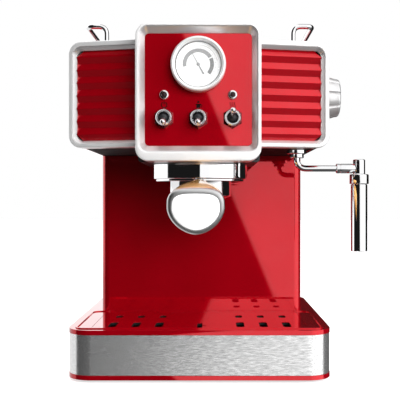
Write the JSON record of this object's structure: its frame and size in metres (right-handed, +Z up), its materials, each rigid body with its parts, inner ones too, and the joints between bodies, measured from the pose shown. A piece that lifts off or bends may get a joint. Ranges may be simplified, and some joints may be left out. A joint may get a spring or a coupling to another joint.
{
  "type": "espresso machine",
  "caption": "Countertop pump espresso machine with gauge, toggle switches, bayonet portafilter, swivelling steam wand, cup rails, drip tray and rear water tank.",
  "frame": {"origin": "on the floor, under the centre of the base's footprint", "axes": "+Z up, -Y towards the user (the portafilter handle points to -Y), +X to the right as the user sees it (steam wand side)"},
  "size_m": [0.2905, 0.4083, 0.3446],
  "materials": {
    "red_casing": "glossy red moulded plastic",
    "red_gloss": "high gloss red moulded plastic",
    "brushed_steel": "horizontally brushed stainless sheet",
    "satin_silver": "satin silver plating",
    "chrome": "mirror chrome plating",
    "steel_plain": "plain stainless steel",
    "black_plastic": "fine textured black plastic",
    "rubber_black": "matte black rubber",
    "dial_white": "printed white dial",
    "needle_black": "black painted pointer",
    "clear_lens": "clear lens",
    "lamp_red": "dark red lamp lens, unlit",
    "wood": "lacquered light wood",
    "boiler_alloy": "cast alloy",
    "pump_steel": "steel coil housing",
    "circuit_board": "green circuit board",
    "hose_silicone": "milky silicone hose",
    "brass": "machined brass",
    "tank_clear": null
  },
  "bodies": {
    "machine": {"base_housing": "red_casing", "base_plate": "black_plastic", "steel_band": "brushed_steel", "feet": "rubber_black", "base_screws": "steel_plain", "column_front": "red_gloss", "column_shell": "red_casing", "head_shell": "red_casing", "head_floor": "black_plastic", "turret_shell": "black_plastic", "top_deck": "red_casing", "centre_bezel": "satin_silver", "control_panel": "red_gloss", "left_wing_frame": "satin_silver", "right_wing_frame": "satin_silver", "left_wing_panel": "red_gloss", "right_wing_panel": "red_gloss", "cup_rails": "chrome", "rail_nuts": "steel_plain", "gauge_case": "black_plastic", "gauge_bezel": "satin_silver", "gauge_dial": "dial_white", "gauge_lens": "clear_lens", "toggle_bodies": "black_plastic", "toggle_collars": "chrome", "toggle_nuts": "red_gloss", "led_bezels": "chrome", "led_lenses": "lamp_red", "group_head": "chrome", "group_gasket": "rubber_black", "shower_screen": "steel_plain", "boiler": "boiler_alloy", "thermostats": "black_plastic", "control_board": "circuit_board", "pump": "pump_steel", "pump_mounts": "rubber_black", "water_hoses": "hose_silicone", "tank_socket": "black_plastic", "steam_valve": "brass", "steam_pipes": "steel_plain", "wand_socket": "chrome", "cord_gland": "black_plastic"},
    "needle": {"gauge_needle": "needle_black"},
    "lever_left": {"toggle_lever_left": "chrome"},
    "lever_centre": {"toggle_lever_centre": "chrome"},
    "lever_right": {"toggle_lever_right": "chrome"},
    "portafilter": {"portafilter_body": "chrome", "filter_basket": "steel_plain", "portafilter_spout": "chrome", "portafilter_ferrule": "chrome", "portafilter_handle": "wood", "handle_cap": "satin_silver"},
    "knob": {"steam_knob": "satin_silver"},
    "wand": {"steam_arm": "chrome", "wand_fitting": "chrome"},
    "sleeve": {"froth_sleeve": "chrome"},
    "tray": {"drip_tray": "red_gloss"},
    "grid": {"drip_grid": "red_gloss"},
    "float": {"tray_float": "black_plastic"},
    "tank": {"water_tank": "tank_clear", "tank_valve": "black_plastic"},
    "lid": {"tank_lid": "black_plastic"}
  },
  "joints": [
    {"name": "needle_turn", "type": "hinge", "parent": "machine", "child": "needle", "pos_m": [0, -0.1705, 0.295], "axis": [0, -1, 0], "range_deg": [-160, 106]},
    {"name": "lever_left_throw", "type": "hinge", "parent": "machine", "child": "lever_left", "pos_m": [-0.031, -0.172, 0.2466], "axis": [1, 0, 0], "range_deg": [-40, 0]},
    {"name": "lever_centre_throw", "type": "hinge", "parent": "machine", "child": "lever_centre", "pos_m": [0, -0.172, 0.2466], "axis": [1, 0, 0], "range_deg": [-40, 0]},
    {"name": "lever_right_throw", "type": "hinge", "parent": "machine", "child": "lever_right", "pos_m": [0.031, -0.172, 0.2466], "axis": [1, 0, 0], "range_deg": [0, 40]},
    {"name": "portafilter_turn", "type": "hinge", "parent": "machine", "child": "portafilter", "pos_m": [0, -0.0895, 0.19], "axis": [0, 0, 1], "range_deg": [-45, 0]},
    {"name": "steam_knob_turn", "type": "hinge", "parent": "machine", "child": "knob", "pos_m": [0.119, -0.0775, 0.2759], "axis": [1, 0, 0], "range_deg": [0, 300]},
    {"name": "steam_arm_swivel", "type": "hinge", "parent": "machine", "child": "wand", "pos_m": [0.0944, -0.1105, 0.21], "axis": [0, 0, 1], "range_deg": [-80, 45]},
    {"name": "sleeve_pull", "type": "slide", "parent": "wand", "child": "sleeve", "axis": [0, 0, -1], "range_m": [0, 0.065]},
    {"name": "tray_lift", "type": "slide", "parent": "machine", "child": "tray", "axis": [0, 0, 1], "range_m": [0, 0.04]},
    {"name": "grid_lift", "type": "slide", "parent": "tray", "child": "grid", "axis": [0, 0, 1], "range_m": [0, 0.02]},
    {"name": "float_rise", "type": "slide", "parent": "tray", "child": "float", "axis": [0, 0, 1], "range_m": [0, 0.012]},
    {"name": "tank_lift", "type": "slide", "parent": "machine", "child": "tank", "axis": [0, 0, 1], "range_m": [0, 0.08]},
    {"name": "lid_hinge", "type": "hinge", "parent": "tank", "child": "lid", "pos_m": [0, 0.0825, 0.305], "axis": [1, 0, 0], "range_deg": [0, 92]}
  ]
}
